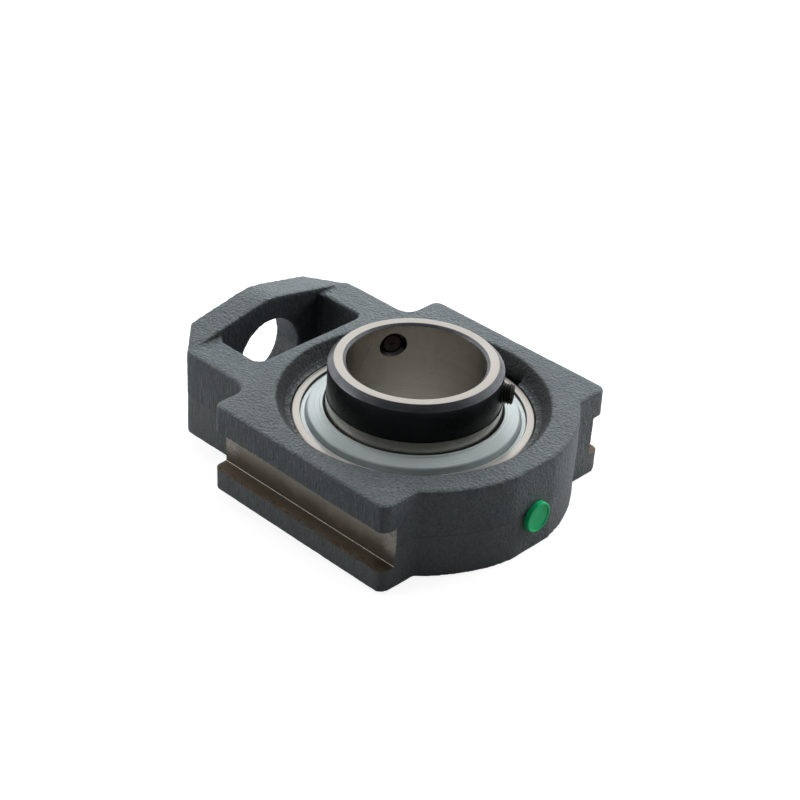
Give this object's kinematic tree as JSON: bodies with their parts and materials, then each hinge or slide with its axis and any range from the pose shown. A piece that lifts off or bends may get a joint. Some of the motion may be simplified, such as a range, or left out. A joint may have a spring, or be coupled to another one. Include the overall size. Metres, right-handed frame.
{
  "type": "take up bearing unit",
  "caption": "Cast iron take up housing with guide grooves and a nut window, holding a self-aligning insert bearing with a wide inner ring and set screws.",
  "frame": {"origin": "centre of the bearing, where the shaft's axis crosses the middle plane of the outer ring", "axes": "+Z along the shaft to the set screw side, +X from the take up screw's boss to the rounded nose, +Y across to the far guide groove"},
  "size_m": [0.1497, 0.1146, 0.0571],
  "materials": {
    "painted_casting": "grey-blue paint over fine sand-cast iron, bare in the machined grooves and seat",
    "ring_steel": "turned and ground bearing steel",
    "collar_steel": "bearing steel, ground on the land and in the bore, blackened round the collar",
    "ball_steel": "polished bearing steel",
    "cage_steel": "pressed mild steel sheet",
    "zinc_plate": "pressed steel with pale blue zinc plating",
    "seal_rubber": "moulded nitrile rubber",
    "black_steel": "black oxide",
    "green_plastic": "injection moulded green plastic"
  },
  "bodies": {
    "housing": {"housing": "painted_casting"},
    "outer_ring": {"outer_ring": "ring_steel", "seal_shield_upper": "zinc_plate", "seal_lip_upper": "seal_rubber", "seal_shield_lower": "zinc_plate", "seal_lip_lower": "seal_rubber"},
    "inner_ring": {"inner_ring": "collar_steel"},
    "cage": {"cage_upper": "cage_steel", "cage_lower": "cage_steel", "cage_rivets": "cage_steel"},
    "set_screw_1": {"set_screw_1": "black_steel"},
    "set_screw_2": {"set_screw_2": "black_steel"},
    "grease_plug": {"grease_plug": "green_plastic"},
    "ball_01": {"ball_01": "ball_steel"},
    "ball_02": {"ball_02": "ball_steel"},
    "ball_03": {"ball_03": "ball_steel"},
    "ball_04": {"ball_04": "ball_steel"},
    "ball_05": {"ball_05": "ball_steel"},
    "ball_06": {"ball_06": "ball_steel"},
    "ball_07": {"ball_07": "ball_steel"},
    "ball_08": {"ball_08": "ball_steel"},
    "ball_09": {"ball_09": "ball_steel"},
    "ball_10": {"ball_10": "ball_steel"}
  },
  "joints": [
    {"name": "bearing_tilt", "type": "hinge", "parent": "housing", "child": "outer_ring", "pos_m": [0, 0, 0], "axis": [0, 1, 0], "range_deg": [-3, 3]},
    {"name": "inner_ring_spin", "type": "hinge", "parent": "outer_ring", "child": "inner_ring", "pos_m": [0, 0, 0], "axis": [0, 0, 1], "continuous": true},
    {"name": "cage_orbit", "type": "hinge", "parent": "outer_ring", "child": "cage", "pos_m": [0, 0, 0], "axis": [0, 0, 1], "continuous": true},
    {"name": "ball_01_spin", "type": "hinge", "parent": "cage", "child": "ball_01", "pos_m": [0.03329, 0.01082, 0], "axis": [0, 0, 1], "continuous": true},
    {"name": "ball_02_spin", "type": "hinge", "parent": "cage", "child": "ball_02", "pos_m": [0.02057, 0.02832, 0], "axis": [0, 0, 1], "continuous": true},
    {"name": "ball_03_spin", "type": "hinge", "parent": "cage", "child": "ball_03", "pos_m": [0, 0.035, 0], "axis": [0, 0, 1], "continuous": true},
    {"name": "ball_04_spin", "type": "hinge", "parent": "cage", "child": "ball_04", "pos_m": [-0.02057, 0.02832, 0], "axis": [0, 0, 1], "continuous": true},
    {"name": "ball_05_spin", "type": "hinge", "parent": "cage", "child": "ball_05", "pos_m": [-0.03329, 0.01082, 0], "axis": [0, 0, 1], "continuous": true},
    {"name": "ball_06_spin", "type": "hinge", "parent": "cage", "child": "ball_06", "pos_m": [-0.03329, -0.01082, 0], "axis": [0, 0, 1], "continuous": true},
    {"name": "ball_07_spin", "type": "hinge", "parent": "cage", "child": "ball_07", "pos_m": [-0.02057, -0.02832, 0], "axis": [0, 0, 1], "continuous": true},
    {"name": "ball_08_spin", "type": "hinge", "parent": "cage", "child": "ball_08", "pos_m": [0, -0.035, 0], "axis": [0, 0, 1], "continuous": true},
    {"name": "ball_09_spin", "type": "hinge", "parent": "cage", "child": "ball_09", "pos_m": [0.02057, -0.02832, 0], "axis": [0, 0, 1], "continuous": true},
    {"name": "ball_10_spin", "type": "hinge", "parent": "cage", "child": "ball_10", "pos_m": [0.03329, -0.01082, 0], "axis": [0, 0, 1], "continuous": true},
    {"name": "set_screw_1_travel", "type": "slide", "parent": "inner_ring", "child": "set_screw_1", "axis": [-0.8918, 0.4524, 0], "range_m": [-0.0035, 0.004]},
    {"name": "set_screw_2_travel", "type": "slide", "parent": "inner_ring", "child": "set_screw_2", "axis": [0.8377, 0.5461, 0], "range_m": [-0.0035, 0.004]},
    {"name": "grease_plug_pull", "type": "slide", "parent": "housing", "child": "grease_plug", "axis": [1, 0, 0], "range_m": [0, 0.012]}
  ],
  "couplings": [
    {"joint": "cage_orbit", "follows": "inner_ring_spin", "ratio": 0.40929},
    {"joint": "ball_01_spin", "follows": "inner_ring_spin", "ratio": -2.6652},
    {"joint": "ball_02_spin", "follows": "inner_ring_spin", "ratio": -2.6652},
    {"joint": "ball_03_spin", "follows": "inner_ring_spin", "ratio": -2.6652},
    {"joint": "ball_04_spin", "follows": "inner_ring_spin", "ratio": -2.6652},
    {"joint": "ball_05_spin", "follows": "inner_ring_spin", "ratio": -2.6652},
    {"joint": "ball_06_spin", "follows": "inner_ring_spin", "ratio": -2.6652},
    {"joint": "ball_07_spin", "follows": "inner_ring_spin", "ratio": -2.6652},
    {"joint": "ball_08_spin", "follows": "inner_ring_spin", "ratio": -2.6652},
    {"joint": "ball_09_spin", "follows": "inner_ring_spin", "ratio": -2.6652},
    {"joint": "ball_10_spin", "follows": "inner_ring_spin", "ratio": -2.6652}
  ]
}
